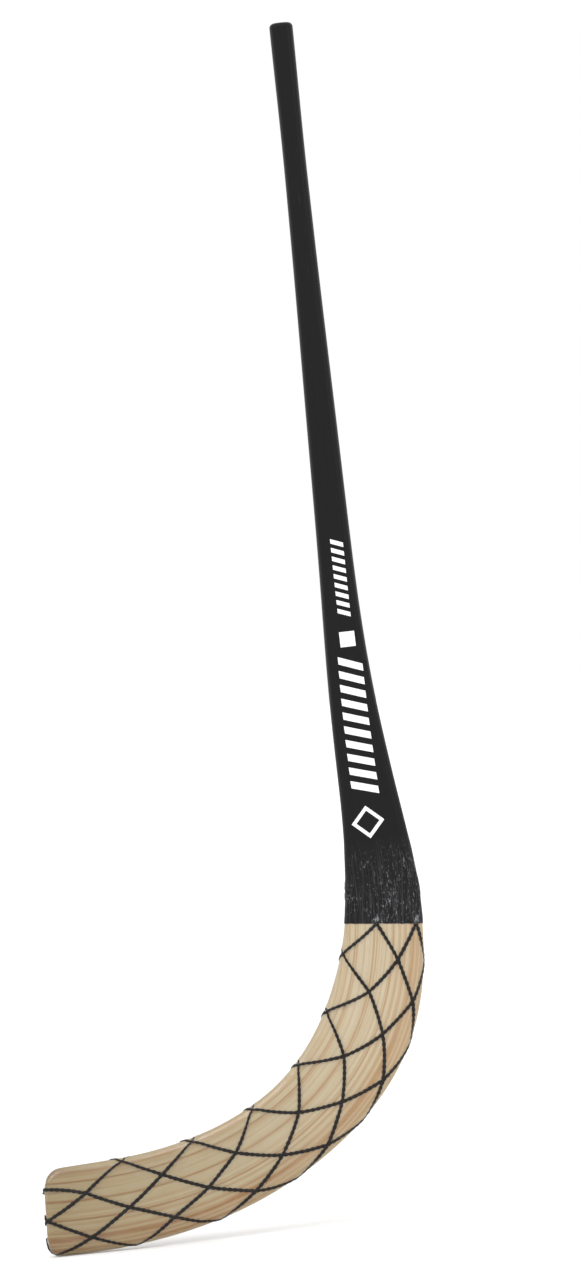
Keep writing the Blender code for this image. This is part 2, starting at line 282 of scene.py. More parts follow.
def front_profile(distance, inset=0.0, flat_steps=1):
    """[(across, depth, outward direction)] over the front, from the inner to the outer edge."""
    inner, outer = half_widths(distance, inset)
    reach = smooth(EDGE_REACHES, distance) - inset
    middle = smooth(THICKNESSES, distance) / 2 - inset
    middle -= round_off(distance - inset, BUTT_ROUND - inset)
    middle -= round_off(LENGTH - inset - distance, TOE_ROUND - inset)
    inner_side, outer_side = [], []
    for k in range(EDGE_STEPS + 1):
        angle = math.pi / 2 * k / EDGE_STEPS
        depth = -middle * (1 - EDGE_DROP * (1 - math.sin(angle)))
        outward = Vector((math.cos(angle) / reach, math.sin(angle) / (EDGE_DROP * middle))).normalized()
        from_edge = reach * (1 - math.cos(angle))
        inner_side.append((-inner + from_edge, depth, Vector((-outward.x, -outward.y))))
        outer_side.append((outer - from_edge, depth, Vector((outward.x, -outward.y))))
    start, end = inner_side[-1][0], outer_side[-1][0]
    flat = [
        (start + (end - start) * k / flat_steps, -middle, Vector((0, -1))) for k in range(1, flat_steps)
    ]
    return inner_side + flat + outer_side[::-1]


def whole_profile(distance, inset=0.0, flat_steps=1):
    """The same all the way round: over the front, then back behind."""
    front = front_profile(distance, inset, flat_steps)
    back = [(across, -depth, Vector((out.x, -out.y))) for across, depth, out in reversed(front)]
    return front + back


def spaced(start, end, step):
    """Distances from start to end, evenly apart by about a step."""
    count = max(round((end - start) / step), 1)
    return [start + (end - start) * k / count for k in range(count + 1)]


def rounded_end_marks(end, direction, radius, steps=8):
    """Distances that space rings evenly round a rounded end."""
    angles = [math.pi / 2 * (k + 1) / steps for k in range(steps)]
    return [end + direction * radius * (1 - math.cos(angle)) for angle in angles]


def in_order(marks, closest=0.00004):
    """Distances in order, without those that nearly repeat the one before."""
    kept = []
    for mark in sorted(marks):
        if not kept or mark - kept[-1] > closest:
            kept.append(mark)
    return kept


# ---- Mesh making ----


def loft(name, rings, cap_start=True, cap_end=True):
    """A piece through rings of (point, offset, shade). The offset moves a point in world space.

    The shade is a number from 0 to 1 for the material, in the "shade" attribute.
    """
    shape = bmesh.new()
    stick = shape.verts.layers.float_vector.new("stick")
    shades = shape.verts.layers.float.new("shade")
    rows = []
    for ring in rings:
        row = []
        for point, offset, shade in ring:
            vertex = shape.verts.new(place(point) + offset)
            vertex[stick] = Vector(point) / MM
            vertex[shades] = shade
            row.append(vertex)
        rows.append(row)
    count = len(rows[0])
    for row, following in zip(rows, rows[1:]):
        for k in range(count):
            after = (k + 1) % count
            shape.faces.new((row[k], row[after], following[after], following[k]))
    if cap_start:
        shape.faces.new(list(reversed(rows[0])))
    if cap_end:
        shape.faces.new(rows[-1])
    bmesh.ops.remove_doubles(shape, verts=shape.verts, dist=SAME_PLACE)
    bmesh.ops.recalc_face_normals(shape, faces=shape.faces)
    mesh = bpy.data.meshes.new(name)
    shape.to_mesh(mesh)
    shape.free()
    mesh.shade_smooth()
    mesh.set_sharp_from_angle(angle=SHARP_ANGLE)
    piece = bpy.data.objects.new(name, mesh)
    bpy.context.scene.collection.objects.link(piece)
    return piece


def world_direction(distance, out):
    """A direction in the section's plane, as a world vector."""
    base = place((distance, 0, 0))
    return (place((distance, out.x, 0)) - base) + Vector((0, out.y, 0))


NOTHING = Vector((0, 0, 0))


def thicken(piece, wall):
    """Gives an open surface a wall, inwards from where it is."""
    solidify = piece.modifiers.new("Solidify", "SOLIDIFY")
    solidify.thickness = wall
    solidify.offset = -1.0


def finish_piece(piece, material, slot, *nodes):
    """Gives the piece its material and body, and hides the CAD nodes that it stands for. The slot is not
    used.
    """
    piece.data.materials.append(material)
    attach(piece, "root")
    if nodes:
        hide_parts(*nodes)
    return piece


# ---- Materials ----


class Graph:
    """A material's node tree, with short calls to add and join nodes."""

    def __init__(self, name):
        self.material = bpy.data.materials.new(name)
        self.material.use_nodes = True
        self.tree = self.material.node_tree
        self.shader = self.tree.nodes["Principled BSDF"]

    def add(self, kind, inputs=None, **settings):
        node = self.tree.nodes.new("ShaderNode" + kind)
        for key, value in settings.items():
            setattr(node, key, value)
        for key, value in (inputs or {}).items():
            self.put(node.inputs[key], value)
        return node

    def put(self, socket, value):
        if isinstance(value, bpy.types.NodeSocket):
            self.tree.links.new(value, socket)
        else:
            socket.default_value = value

    def math(self, operation, first, second=0.0, clamp=False):
        inputs = {0: first, 1: second}
        return self.add("Math", inputs, operation=operation, use_clamp=clamp).outputs[0]

    def attribute(self, name):
        """The outputs of a mesh attribute."""
        return self.add("Attribute", attribute_name=name, attribute_type="GEOMETRY").outputs

    def stick(self):
        """(distance, across, depth) sockets in millimetres."""
        parts = self.add("SeparateXYZ", {0: self.attribute("stick")["Vector"]}).outputs
        return parts[0], parts[1], parts[2]

    def product(self, first, second, clamp=False):
        return self.math("MULTIPLY", first, second, clamp)

    def total(self, first, second, clamp=False):
        return self.math("ADD", first, second, clamp)

    def share(self, value, start, length):
        """0 up to the start, 1 a length further on, and even between."""
        return self.math("DIVIDE", self.math("SUBTRACT", value, start), length, clamp=True)

    def noise(self, vector, detail=2.0, roughness=0.5):
        """Noise from 0 to 1, with one grain to each unit of the vector."""
        inputs = {"Vector": vector, "Scale": 1.0, "Detail": detail, "Roughness": roughness}
        return self.add("TexNoise", inputs).outputs["Fac"]

    def scaled(self, distance, across, depth, scales, offset=0.0):
        """A vector for a texture: each coordinate times its scale."""
        pairs = zip((distance, across, depth), scales)
        parts = [self.math("MULTIPLY", value, scale) for value, scale in pairs]
        parts[2] = self.math("ADD", parts[2], offset)
        return self.add("CombineXYZ", {0: parts[0], 1: parts[1], 2: parts[2]}).outputs[0]

    def ramp(self, value, stops):
        """A smooth ramp through (position, grey or colour) stops."""
        ramp = self.add("ValToRGB", {0: value})
        elements = ramp.color_ramp.elements
        ramp.color_ramp.interpolation = "EASE"
        while len(elements) < len(stops):
            elements.new(0.5)
        for element, (position, level) in zip(elements, stops):
            element.position = position
            color = level if isinstance(level, tuple) else (level, level, level)
            element.color = (*color, 1.0)
        return ramp.outputs[0]

    def mix(self, amount, first, second, blend="MIX"):
        inputs = {"Factor": amount, "A": first, "B": second}
        node = self.add("Mix", data_type="RGBA", blend_type=blend)
        for key, value in inputs.items():
            socket = next(s for s in node.inputs if s.name == key and s.enabled)
            self.put(socket, (*value, 1.0) if isinstance(value, tuple) and len(value) == 3 else value)
        return next(s for s in node.outputs if s.enabled)

    def bump(self, height, distance, strength=1.0):
        inputs = {"Height": height, "Distance": distance, "Strength": strength}
        return self.add("Bump", inputs).outputs[0]

    def surface(self, **sockets):
        for key, value in sockets.items():
            name = key.replace("_", " ").title().replace("Ior", "IOR")
            if isinstance(value, tuple) and len(value) == 3:
                value = (*value, 1.0)
            self.put(self.shader.inputs[name], value)
        return self.material


WEAVE_PITCH = 1.1  # millimetres
PALE_WOOD = (0.462, 0.388, 0.256)
TOE_WOOD = (0.264, 0.202, 0.088)
LATE_TINT = (0.74, 0.43, 0.11)
PORE_TINT = (0.66, 0.52, 0.38)
# the tint of the painted shade at the wood's rounded edges and toe
EDGE_SHADE_TINT = (0.60, 0.52, 0.36)


def gauss(graph, value, centre, width):
    """A soft band of 1 at the centre, falling to 0 over the width."""
    off = graph.math("DIVIDE", graph.math("SUBTRACT", value, centre), width)
    return graph.math("EXPONENT", graph.product(graph.product(off, off), -1.0))


def wood_material(name, seed, tilt, bands, darkness):
    """Straight-grained wood, bent along the stick.

    The seed picks its noise and the tilt is its growth rings' slant through the blade. Bands are
    (offset in mm, width in mm, strength) orange lines, and the darkness is that of its broad streaks.
    """
    graph = Graph(name)
    distance, across, depth = graph.stick()
    edge = graph.attribute("shade")["Fac"]

    # where a point lies among the growth rings, which wander a little
    sway = graph.noise(graph.scaled(distance, across, depth, (0.004, 0.02, 0.03), seed), 2)
    sway = graph.product(graph.math("SUBTRACT", sway, 0.5), 1.6)
    ring = graph.total(graph.product(depth, math.tan(tilt)), sway)
    ring = graph.total(across, ring)

    # the ground colour, then late wood in broad streaks, narrow streaks and threads
    toward_toe = graph.share(distance, 760.0, 300.0)
    color = graph.mix(toward_toe, PALE_WOOD, TOE_WOOD)
    wide = graph.noise(graph.scaled(distance, ring, depth, (0.0016, 0.13, 0.02), seed + 3.1), 1)
    wide = graph.ramp(wide, ((0.40, 0.0), (0.66, 1.0)))
    color = graph.mix(graph.product(wide, darkness), color, LATE_TINT, "MULTIPLY")
    streaks = graph.noise(graph.scaled(distance, ring, depth, (0.0016, 0.42, 0.02), seed + 7.3), 2, 0.6)
    late = graph.ramp(streaks, ((0.47, 0.0), (0.56, 0.35), (0.63, 1.0), (0.70, 0.4)))
    color = graph.mix(graph.product(late, 0.46), color, LATE_TINT, "MULTIPLY")
    threads = graph.noise(graph.scaled(distance, ring, depth, (0.0040, 1.10, 0.05), seed + 21.0), 2, 0.6)
    threads = graph.ramp(threads, ((0.50, 0.0), (0.68, 1.0)))
    color = graph.mix(graph.product(threads, 0.27), color, LATE_TINT, "MULTIPLY")

    # orange lines beside the seams, riper toward the toe
    patchy = graph.noise(graph.scaled(distance, across, depth, (0.016, 0.05, 0.05), seed + 9.4), 2)
    patchy = graph.ramp(patchy, ((0.34, 0.60), (0.58, 1.0)))
    wobble = graph.total(across, graph.product(sway, 0.5))
    ripening = graph.total(graph.product(toward_toe, 0.6), 0.75)
    ripening = graph.product(ripening, patchy)
    for offset, width, strength in bands:
        band = graph.product(gauss(graph, wobble, offset, width), ripening)
        color = graph.mix(graph.product(band, strength, clamp=True), color, LATE_TINT, "MULTIPLY")

    # fibres, pores, and painted shade that darkens the rounded edges and the toe's end
    fibres = graph.noise(graph.scaled(distance, ring, depth, (0.045, 5.0, 5.0), seed + 1.7), 3, 0.6)
    pores = graph.noise(graph.scaled(distance, ring, depth, (0.10, 2.6, 2.6), seed + 5.9), 1)
    pores = graph.ramp(pores, ((0.64, 0.0), (0.74, 1.0)))
    color = graph.mix(graph.product(pores, 0.30), color, PORE_TINT, "MULTIPLY")
    shade = graph.total(graph.product(fibres, 0.32), 0.84)
    shade = graph.add("CombineXYZ", {0: shade, 1: shade, 2: shade}).outputs[0]
    color = graph.mix(1.0, color, shade, "MULTIPLY")
    # painted shade: darker near the rounded edges (the "shade" attribute) and over the toe's last 40 mm
    at_toe = graph.share(distance, 1020.0, 40.0)
    edge_toe_shade = graph.product(graph.math("POWER", edge, 1.5), graph.total(at_toe, 0.35))
    edge_toe_shade = graph.total(edge_toe_shade, graph.product(at_toe, 0.20))
    color = graph.mix(graph.product(edge_toe_shade, 0.55, clamp=True), color, EDGE_SHADE_TINT, "MULTIPLY")

    rough = graph.total(graph.product(fibres, 0.25), 0.32)
    relief = graph.math("SUBTRACT", fibres, graph.product(pores, 0.8))
    normal = graph.bump(relief, 0.00012, 0.5)
    return graph.surface(
        base_color=color, roughness=rough, normal=normal, coat_weight=0.25, coat_roughness=0.18
    )


def resin_material():
    """Clear glossy resin: a thin mirror film, faint face on and stronger at a slant."""
    graph = Graph("clear_resin")
    distance, across, depth = graph.stick()
    waves = graph.noise(graph.scaled(distance, across, depth, (0.06, 0.11, 0.11)), 3, 0.5)
    weave_along = graph.math("SINE", graph.product(distance, 2 * math.pi / WEAVE_PITCH))
    weave_across = graph.math("SINE", graph.product(across, 2 * math.pi / WEAVE_PITCH))
    weave = graph.product(weave_along, weave_across)
    height = graph.total(waves, graph.product(weave, 0.035))
    normal = graph.bump(height, 0.0006, 0.5)
    rough = graph.total(graph.product(waves, 0.16), 0.13)
    slant = graph.add("LayerWeight", {"Blend": 0.5, "Normal": normal}).outputs["Facing"]
    slant = graph.math("POWER", slant, 4.0)
    film = graph.product(slant, 0.22)
    film = graph.total(film, graph.product(waves, 0.04), clamp=True)
    return graph.surface(
        base_color=(1.0, 0.99, 0.97), metallic=1.0, roughness=rough, normal=normal, alpha=film
    )


def coat_material():
    """Satin black paint with faint brush lines; over the glass cloth its fibres' glints are painted in.
    """
    graph = Graph("black_coat")
    distance, across, depth = graph.stick()
    net = graph.attribute("shade")["Fac"]
    over_cloth = graph.share(distance, 620.0, 40.0)
    brush = graph.noise(graph.scaled(distance, across, depth, (0.02, 1.6, 1.6)), 3, 0.6)
    peel = graph.noise(graph.scaled(distance, across, depth, (0.5, 0.6, 0.6)), 2)
    warp = graph.noise(graph.scaled(distance, across, depth, (0.035, 1.15, 1.15), 8.0), 2, 0.6)
    fibre = graph.noise(graph.scaled(distance, across, depth, (0.30, 0.95, 0.95), 4.0), 2, 0.7)
    patchy = graph.noise(graph.scaled(distance, across, depth, (0.06, 0.07, 0.07), 2.0), 2)

    # painted glints: most on the outer side, over the net's ridges and at its topmost crossings
    lift = graph.total(graph.product(patchy, 0.18), graph.product(net, 0.055))
    outer = graph.share(across, -22.0, 26.0)
    lift = graph.total(lift, graph.product(outer, 0.045))
    for offset in NET_TOP_CROSSINGS:
        along = gauss(graph, distance, (NET_START - 0.0028) / MM, 2.2)
        lump = graph.product(gauss(graph, across, offset, 1.7), along)
        lift = graph.total(lift, graph.product(lump, 0.20))
    painted_glint = graph.total(fibre, lift)
    painted_glint = graph.ramp(painted_glint, ((0.71, 0.0), (0.78, 0.30), (0.88, 1.0)))
    painted_glint = graph.product(painted_glint, over_cloth)

    # black, with greyer cloth lines, the painted glints, and a scuffed stretch on the grip
    color = graph.mix(brush, (0.0030, 0.0030, 0.0032), (0.0075, 0.0075, 0.0078))
    lines = graph.product(graph.ramp(warp, ((0.45, 0.0), (0.70, 1.0))), over_cloth)
    color = graph.mix(graph.product(lines, 0.75), color, (0.042, 0.039, 0.039))
    # painted highlight: light grey glints mixed into the base colour
    color = graph.mix(graph.product(painted_glint, 0.80), color, (0.260, 0.270, 0.290))
    scuff = graph.noise(graph.scaled(distance, across, depth, (0.035, 0.9, 0.9), 11.0), 4, 0.7)
    scuff = graph.ramp(scuff, ((0.60, 0.0), (0.72, 1.0)))
    scuff = graph.product(scuff, gauss(graph, distance, 150.0, 60.0))
    color = graph.mix(graph.product(scuff, 0.5), color, (0.050, 0.048, 0.046))

    rough = graph.total(graph.product(brush, 0.22), 0.34)
    rough = graph.math("SUBTRACT", rough, graph.product(over_cloth, 0.08))
    cloth = graph.product(graph.total(fibre, warp), over_cloth)
    relief = graph.total(graph.product(brush, 0.25), graph.product(peel, 0.5))
    normal = graph.bump(graph.total(relief, graph.product(cloth, 1.6)), 0.00022, 0.6)
    return graph.surface(base_color=color, roughness=rough, normal=normal, specular_ior_level=0.16)


def cord_material():
    """Black twisted yarn, dulled where the resin has soaked it."""
    graph = Graph("black_cord")
    where = graph.add("NewGeometry").outputs["Position"]
    fuzz = graph.add("TexNoise", {"Vector": where, "Scale": 2600.0, "Detail": 2.0}).outputs["Fac"]
    patches = graph.add("TexNoise", {"Vector": where, "Scale": 90.0, "Detail": 2.0}).outputs["Fac"]
    color = graph.mix(fuzz, (0.0035, 0.0032, 0.0030), (0.020, 0.017, 0.015))
    color = graph.mix(graph.ramp(patches, ((0.5, 0.0), (0.75, 0.35))), color, (0.035, 0.028, 0.024))
    rough = graph.total(graph.product(patches, 0.4), 0.35)
    normal = graph.bump(fuzz, 0.00015, 0.7)
    return graph.surface(base_color=color, roughness=rough, normal=normal, specular_ior_level=0.20)


def print_material():
    """White screen-printed ink, a little thin and chalky."""
    graph = Graph("white_print")
    distance, across, depth = graph.stick()
    grain = graph.noise(graph.scaled(distance, across, depth, (0.9, 2.2, 2.2)), 3, 0.6)
    worn = graph.ramp(grain, ((0.30, 0.0), (0.42, 1.0)))
    color = graph.mix(worn, (0.55, 0.55, 0.54), (0.86, 0.86, 0.85))
    rough = graph.total(graph.product(grain, 0.3), 0.35)
    return graph.surface(base_color=color, roughness=rough, normal=graph.bump(grain, 0.00005, 0.5))


# ---- The net's routes ----


def row_distance(row):
    """Where a row of crossings lies along the blade."""
    return NET_START + NET_FIRST_ROW * row + NET_ROW_GROWTH * row * row


def row_at(distance):
    """The row, as a number with a fraction, at a distance."""
    root = math.sqrt(NET_FIRST_ROW**2 + 4 * NET_ROW_GROWTH * (distance - NET_START))
    return (root - NET_FIRST_ROW) / (2 * NET_ROW_GROWTH)


def point_on_outline(outline, travel):
    """(across, depth) at a length of travel along the front's outline."""
    for (a0, d0), (a1, d1) in zip(outline, outline[1:]):
        length = math.hypot(a1 - a0, d1 - d0)
        if travel <= length:
            share = travel / length if length else 0.0
            return a0 + (a1 - a0) * share, d0 + (d1 - d0) * share
        travel -= length
    return outline[-1]


def travel_to(outline, across):
    """The length along the outline up to an offset."""
    travel = 0.0
    for (a0, d0), (a1, d1) in zip(outline, outline[1:]):
        length = math.hypot(a1 - a0, d1 - d0)
        if a1 >= across:
            return travel + (length * (across - a0) / (a1 - a0) if a1 > a0 else 0.0)
        travel += length
    return travel


def surface_point(distance, column, height):
    """(across, depth) at a column of the net, at a height over the resin.

    Round the toe's corner it spreads the columns as just before the corner, unlike the CAD's net.
    """
    column %= NET_COLUMNS
    side = -1 if column > NET_COLUMNS / 2 else 1
    if side == -1:
        column = NET_COLUMNS - column
    steady = min(distance, LENGTH - TOE_INNER_CORNER)
    front = [(across, depth) for across, depth, _ in front_profile(steady, -height)]
    outline = [(front[0][0], 0.0)] + front + [(front[-1][0], 0.0)]
    inner, outer = half_widths(min(distance, LENGTH - TOE_OUTER_CORNER))
    half = (inner + outer) / 2
    drift = smooth(NET_DRIFTS, distance)
    to_toe = min(max((LENGTH - TOE_ROUND - distance) / NET_TURN_FADE, 0), 1)
    ends = [side * NET_INNER_TURN * to_toe]
    ends += [travel_to(outline, (share + drift) * half) for share in NET_FRONT_COLUMNS]
    ends += [travel_to(outline, outline[-1][0])]
    before = min(int(column), len(ends) - 2)
    travel = ends[before] + (ends[before + 1] - ends[before]) * (column - before)
    if travel < 0:
        side, travel = -side, -travel
    across, depth = point_on_outline(outline, travel)
    if distance > steady:
        actual = [(offset, deep) for offset, deep, _ in front_profile(distance, -height)]
        across = min(max(across, actual[0][0]), actual[-1][0])
        depth *= between(actual, across) / between(front, across)
    return across, side * depth


def net_point(along, column, height):
    """A point on the net: down the blade, round the toe's rounding, then to its end face's middle."""
    turn_start = LENGTH - TOE_ROUND
    face_start = turn_start + TOE_ROUND * math.pi / 2
    flat_half = smooth(THICKNESSES, LENGTH) / 2 - TOE_ROUND
    if along <= turn_start:
        return (along, *surface_point(along, column, height))
    angle = min((along - turn_start) / TOE_ROUND, math.pi / 2)
    distance = turn_start + (TOE_ROUND + height) * math.sin(angle)
    across, depth = surface_point(distance, column, height)
    inward = min(max((along - face_start) / flat_half, 0.0), 1.0)
    return distance, across, depth * (1 - inward)


def cord_column(start_column, row):
    """The column that a cord has reached. Past the last full row it levels out off the inner edge."""
    column = start_column + row
    from_inner = column - NET_COLUMNS * round(column / NET_COLUMNS)
    if row <= NET_LAST_ROW - 1 or abs(from_inner) >= 1:
        return column
    kept_off = TOE_INNER_COLUMNS + (1 - TOE_INNER_COLUMNS) * from_inner**2
    return column - from_inner - kept_off


def near_edge(distance, across):
    """1 at the outline's edge, and 0 a few millimetres inside it."""
    inner, outer = half_widths(min(distance, LENGTH - TOE_OUTER_CORNER))
    return math.exp(-((min(across + inner, outer - across) / CORD_EDGE_WIDTH) ** 2))


def cord_half(start_column, side, top_row):
    """[(middle, a point above it, swell)] from the net's top to the middle of the toe's end."""
    turn_start = LENGTH - TOE_ROUND
    turn_end = turn_start + TOE_ROUND * math.pi / 2 + smooth(THICKNESSES, LENGTH) / 2 - TOE_ROUND
    points = []
    for along in spaced(row_distance(top_row), turn_end, CORD_STEP * 0.8):
        row = row_at(along)
        wander = noise.noise(Vector((along * 42, start_column * 3.7, side * 5.1)))
        still = ease(NET_LAST_ROW, NET_LAST_ROW - 1, row) * CORD_WANDER * wander
        column = side * (cord_column(start_column, row) + still)
        fade = 1 - min(max((row - NET_LAST_ROW) / CORD_FADE_ROWS, 0.0), 1.0)
        height = CORD_SINK + side * fade * CORD_CROSSING * math.cos(math.pi * row)
        height -= CORD_EDGE_SINK * near_edge(*net_point(along, column, height)[:2])
        centre = net_point(along, column, height)
        upper = net_point(along, column, height + CORD_DEPTH)
        inner_off = column - NET_COLUMNS * round(column / NET_COLUMNS)
        uneven = CORD_UNEVEN * noise.noise(Vector((along * 160, start_column * 1.9, side * 7.7)))
        swell = 1 + uneven + KNOT_SWELL * math.exp(-((inner_off / KNOT_COLUMNS) ** 2))
        points.append((centre, upper, swell))
    return points


def cord_rings(path):
    """Rings of a two-ply cord: a two-lobed section that turns as it runs along the path."""
    centres = [place(centre) for centre, _, _ in path]
    outwards = [(place(upper) - place(centre)).normalized() for centre, upper, _ in path]
    rings = []
    travel = 0.0
    for index, centre in enumerate(centres):
        before = centres[max(index - 1, 0)]
        after = centres[min(index + 1, len(centres) - 1)]
        travel += (centre - before).length
        outward = outwards[index]
        side = (after - before).cross(outward).normalized()
        turn = 2 * math.pi * travel / CORD_PITCH
        swell = path[index][2]
        ring = []
        for k in range(CORD_SIDES):
            angle = 2 * math.pi * k / CORD_SIDES
            lobe = 1 - CORD_LOBE + CORD_LOBE * math.cos(2 * (angle - turn / 2))
            reach_side = side * (math.cos(angle) * lobe * swell * CORD_WIDTH / 2)
            reach_up = outward * (math.sin(angle) * lobe * CORD_DEPTH / 2)
            ring.append((path[index][0], reach_side + reach_up, 0.0))
        rings.append(ring)
    return rings


def tree_of(points):
    """A search tree that finds the nearest of the points."""
    tree = kdtree.KDTree(len(points))
    for index, point in enumerate(points):
        tree.insert(point, index)
    tree.balance()
    return tree


def ridge(tree, position, height, width):
    """How far resin or paint rises near a cord."""
    _, _, gap = tree.find(position)
    return height * math.exp(-((gap / width) ** 2))


# ---- The pieces ----


def room_for_stave(index, distance):
    """How wide a stave can be here: the wood outside its inner seam."""
    inner, outer = half_widths(distance, WOOD_INSET)
    centre = len(SEAMS) // 2
    if index == centre:
        return inner + outer
    return inner + SEAMS[index] if index < centre else outer - SEAMS[index - 1]


def stave_span(index):
    """Where a stave starts and ends along the stick."""
    scan = spaced(WOOD_INSET, LENGTH - WOOD_INSET, 0.0005)
    present = [distance for distance in scan if room_for_stave(index, distance) > STAVE_MIN_WIDTH]
    return present[0], present[-1]


def stave_ring(distance, low, high, flat_steps):
    """A ring round the part of the wood between two offsets; points outside lie on the nearer one."""
    profile = front_profile(distance, WOOD_INSET, 1)
    heights = [(across, -depth) for across, depth, _ in profile]
    steps = [low + (high - low) * k / flat_steps for k in range(flat_steps + 1)]
    edges = [min(max(across, low), high) for across, _ in heights]
    offsets = sorted(steps + edges)
    reach = smooth(EDGE_REACHES, distance)
    front, back = [], []
    for across in offsets:
        from_edge = min(across - profile[0][0], profile[-1][0] - across)
        # 1 at the edge, where the wood material paints shade
        shade = max(1 - from_edge / reach, 0.0)
        front.append(((distance, across, -between(heights, across)), NOTHING, shade))
        back.append(((distance, across, between(heights, across)), NOTHING, shade))
    return front + back[::-1]


def make_staves(materials):
    """The five staves, each a little short of its neighbours at the seams."""
    spans = [stave_span(index) for index in range(len(STAVES))]
    for index, name in enumerate(STAVES):
        start, end = spans[index]
        neighbours = [n for n in (index - 1, index + 1) if 0 <= n < len(STAVES)]
        later = [spans[n][0] for n in neighbours if spans[n][0] > start]
        shoulders = [begin - part for begin in later for part in (2e-4, 4e-4)]
        marks = spaced(start, end, 0.020 if end < 0.6 else 0.004) + shoulders
        for radius in (TOE_ROUND, TOE_OUTER_CORNER, TOE_INNER_CORNER):
            marks += rounded_end_marks(end, -1, radius)
        if index == len(STAVES) // 2:
            marks += rounded_end_marks(start, 1, BUTT_ROUND)
        rings = []
        for distance in in_order(marks):
            inner, outer = half_widths(distance, WOOD_INSET)
            low, high = -inner, outer
            if index > 0 and distance >= spans[index - 1][0] - 3e-4:
                low = max(SEAMS[index - 1] + SEAM_GAP / 2, low)
            if index < len(SEAMS) and distance >= spans[index + 1][0] - 3e-4:
                high = min(SEAMS[index] - SEAM_GAP / 2, high)
            rings.append(stave_ring(distance, low, high, STAVE_STEPS))
        piece = loft(name + "_wood", rings)
        finish_piece(piece, materials[index], "wood", name)


def make_cords(material):
    """The four cords. Returns the world points of their middles, for the resin's ridges."""
    middles = []
    for number, start_column in enumerate(range(1, NET_COLUMNS, 2), start=1):
        half = cord_half(start_column, 1, CORD_TOP_ROW)
        path = half + cord_half(start_column, -1, CORD_TOP_ROW)[-2::-1]
        piece = loft(f"net_cord_{number}_yarn", cord_rings(path))
        finish_piece(piece, material, "black_cord", f"net_cord_{number}")
        middles += [place(centre) for centre, _, _ in path]
    return middles


def covered_net():
    """World points of the net's stretch under the coat, which shows as ridges in the paint."""
    points = []
    for start_column in range(1, NET_COLUMNS, 2):
        for side in (1, -1):
            for step in range(COVERED_STEPS):
                row = CORD_TOP_ROW - COVERED_ROWS * step / COVERED_STEPS
                distance = NET_START + NET_FIRST_ROW * row
                across, depth = surface_point(distance, side * (start_column + row), 0.0)
                points.append(place((distance, across, depth)))
    return points


def make_sleeve(material, cord_points):
    """The clear sleeve: it closes round the toe, rises beside each cord and waves a little."""
    tree = tree_of(cord_points)
    marks = spaced(SLEEVE_START, COAT_END - 0.004, 0.010) + spaced(COAT_END - 0.002, LENGTH, 0.0011)
    for radius in (TOE_ROUND, TOE_OUTER_CORNER, TOE_INNER_CORNER):
        marks += rounded_end_marks(LENGTH, -1, radius)
    rings = []
    for distance in in_order(marks):
        ring = []
        for across, depth, out in whole_profile(distance, 0.0, SLEEVE_STEPS):
            point = (distance, across, depth)
            position = place(point)
            rise = 0.0
            if distance > COAT_END - 0.003:
                rise = ridge(tree, position, RIDGE_HEIGHT, RIDGE_WIDTH)
                rise += 0.00006 * noise.noise(position * 55)
            ring.append((point, world_direction(distance, out) * rise, 0.0))
        rings.append(ring)
    piece = loft("glass_fibre_sleeve_resin", rings, cap_start=False)
    thicken(piece, SLEEVE_WALL)
    finish_piece(piece, material, "clear_resin", "glass_fibre_sleeve")


def coat_inset(distance):
    """The coat lies close on the wood, and steps out over the sleeve's upper end."""
    step = ease(COAT_STEP[0], COAT_STEP[1], distance)
    return COAT_ON_WOOD_INSET - step * (COAT_ON_WOOD_INSET + COAT_FILM)


def make_coat(material):
    """The black coat: smooth on the shaft, and over the sleeve it shows the cloth and the net."""
    tree = tree_of(covered_net())
    marks = rounded_end_marks(COAT_ON_WOOD_INSET, 1, BUTT_ROUND) + [COAT_ON_WOOD_INSET]
    marks += spaced(BUTT_ROUND * 1.4, RELIEF_START, 0.004)
    marks += spaced(RELIEF_START + 0.0005, COAT_END, 0.0006)
    rings = []
    for distance in in_order(marks):
        inset = coat_inset(distance)
        cloth = ease(RELIEF_START, RELIEF_START + 0.018, distance)
        lip = 1 - 0.75 * ease(COAT_END - 0.0012, COAT_END, distance)
        ring = []
        for across, depth, out in whole_profile(distance, inset, COAT_STEPS):
            uneven = noise.noise(Vector((across * 260, depth * 260, 3.1)))
            shift = 0.0005 * uneven * ease(COAT_END - 0.004, COAT_END, distance)
            point = (distance + shift, across, depth)
            rise, net = 0.0, 0.0
            if cloth > 0:
                position = place(point)
                fibre = noise.noise(Vector((distance * 420, across * 1900, depth * 1900)))
                lump = noise.noise(Vector((distance * 130, across * 260, depth * 260)))
                rise = cloth * lip * (0.00009 * fibre + 0.00010 * lump)
                net = ridge(tree, position, 1.0, COVERED_WIDTH)
                rise += cloth * lip * COVERED_RIDGE * net
            # the net's nearness goes to the "shade" attribute, where the coat material paints glints
            ring.append((point, world_direction(distance, out) * rise, net * cloth))
        rings.append(ring)
    piece = loft("shaft_coat_paint", rings, cap_end=False)
    thicken(piece, COAT_WALL)
    finish_piece(piece, material, "black_coat", "shaft_coat")


def print_point(distance, across):
    """A point on the coat's front, just proud of the paint."""
    front = front_profile(distance, coat_inset(distance) - PRINT_HEIGHT)
    return distance, across, between([(offset, depth) for offset, depth, _ in front], across)


